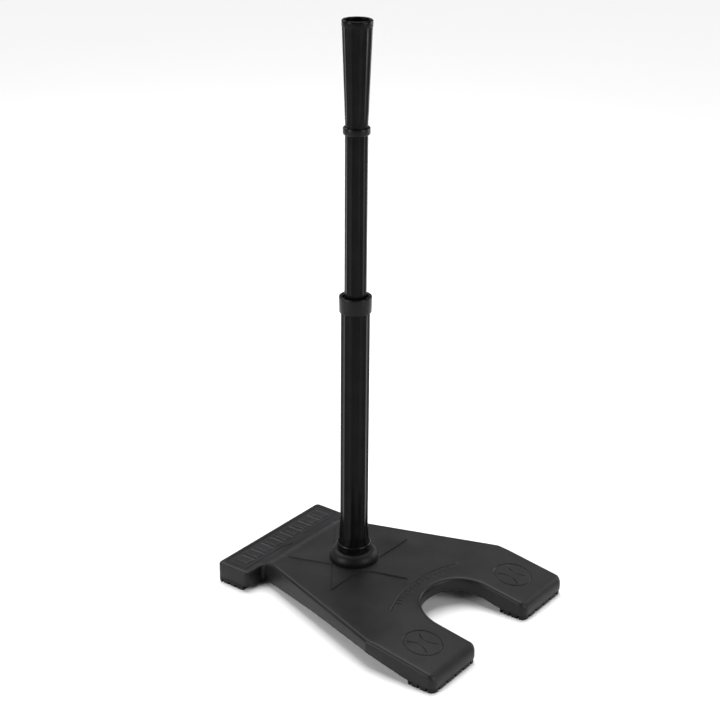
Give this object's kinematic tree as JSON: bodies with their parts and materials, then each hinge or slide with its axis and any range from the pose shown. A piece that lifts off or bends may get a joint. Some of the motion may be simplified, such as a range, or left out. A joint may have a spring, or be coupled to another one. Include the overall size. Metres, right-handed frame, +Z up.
{
  "type": "batting tee",
  "caption": "Height-adjustable rubber batting tee: heavy arched base with two legs and a rear bar, fluted telescoping stem and a flexible cup that holds a ball.",
  "frame": {"origin": "middle of the footprint on the floor; the stem's axis is 59 mm behind it, towards +Y", "axes": "+Z up along the stem, -Y towards the leg tips, +Y towards the rear bar, X from side to side"},
  "size_m": [0.412, 0.522, 1.028],
  "materials": {
    "base_rubber": "satin moulded",
    "tread_rubber": "matte moulded",
    "tube_rubber": "satin extruded",
    "cup_rubber": "satin moulded",
    "ring_rubber": "satin moulded",
    "nylon": "smooth moulded",
    "zinc_steel": "zinc plated"
  },
  "bodies": {
    "base": {"base_body": "base_rubber", "front_left_tread": "tread_rubber", "front_right_tread": "tread_rubber", "rear_tread": "tread_rubber", "stem_boot": "base_rubber", "foot_ring": "ring_rubber", "anchor_plug": "nylon", "anchor_nut": "zinc_steel", "anchor_washer": "zinc_steel", "anchor_bolt": "zinc_steel", "lower_tube": "tube_rubber", "collar": "ring_rubber", "grip_bush": "nylon"},
    "guide": {"guide_ring": "nylon"},
    "upper_stem": {"upper_tube": "tube_rubber", "stop_ring": "ring_rubber", "ball_cup": "cup_rubber"}
  },
  "joints": [
    {"name": "height_slide", "type": "slide", "parent": "base", "child": "guide", "axis": [0, 0, 1], "range_m": [-0.28, 0.114]},
    {"name": "stem_turn", "type": "hinge", "parent": "guide", "child": "upper_stem", "pos_m": [0, 0.059, 0.355], "axis": [0, 0, 1], "continuous": true}
  ]
}
